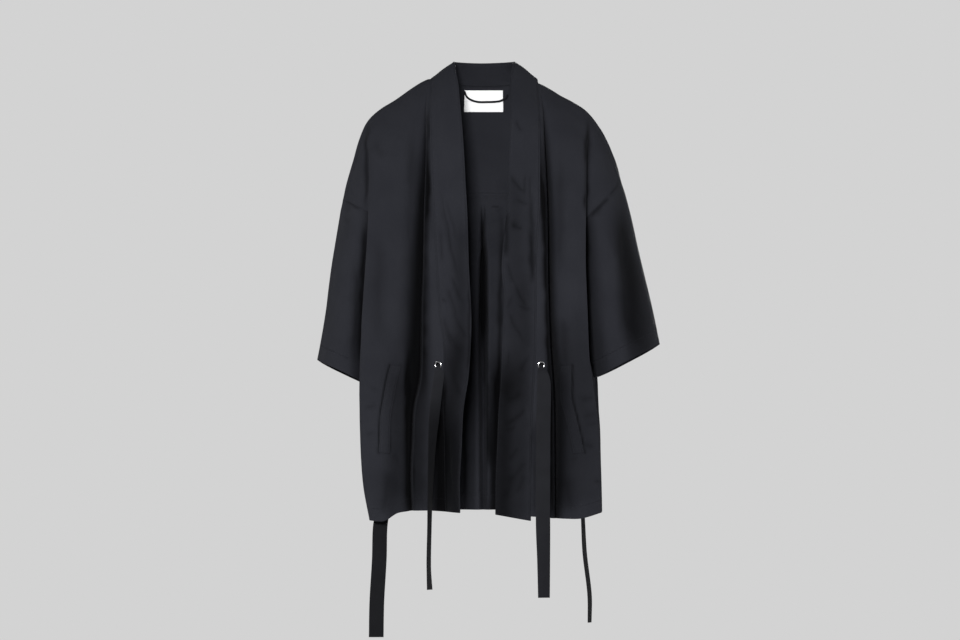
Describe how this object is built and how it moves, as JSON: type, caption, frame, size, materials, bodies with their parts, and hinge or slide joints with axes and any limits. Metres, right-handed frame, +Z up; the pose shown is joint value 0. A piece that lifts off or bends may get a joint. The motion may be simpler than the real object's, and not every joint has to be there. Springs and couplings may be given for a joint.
{
  "type": "haori shirt",
  "caption": "Dark twill haori-style shirt with half sleeves, an open front with a neckband, slanted welt pockets and ribbon ties, held hollow at the shoulders",
  "frame": {"origin": "where the wearer holds it up: midway between the shoulders at the height of the neck base, on the shoulder ridge", "axes": "+Z up, front toward -Y, +X to the right as seen from the front"},
  "size_m": [0.559, 0.2805, 0.9367],
  "materials": {
    "twill": "matte fine cotton twill, near black",
    "ribbon": "matte woven tape, near black",
    "label": "satin woven label, bare",
    "metal": "polished eyelet"
  },
  "bodies": {
    "root": {"front_left": "twill", "front_right": "twill", "back_yoke": "twill", "back_lower": "twill", "sleeve_left": "twill", "sleeve_right": "twill", "neckband": "twill", "pocket_welt_left": "twill", "pocket_welt_right": "twill", "pocket_bag_left": "twill", "pocket_bag_right": "twill", "eyelet_left": "metal", "eyelet_right": "metal", "front_tie_left": "ribbon", "front_tie_right": "ribbon", "inner_tie_left": "ribbon", "inner_tie_right": "ribbon", "hanger_loop": "ribbon", "label_upper": "label", "label_lower": "label"}
  },
  "joints": []
}
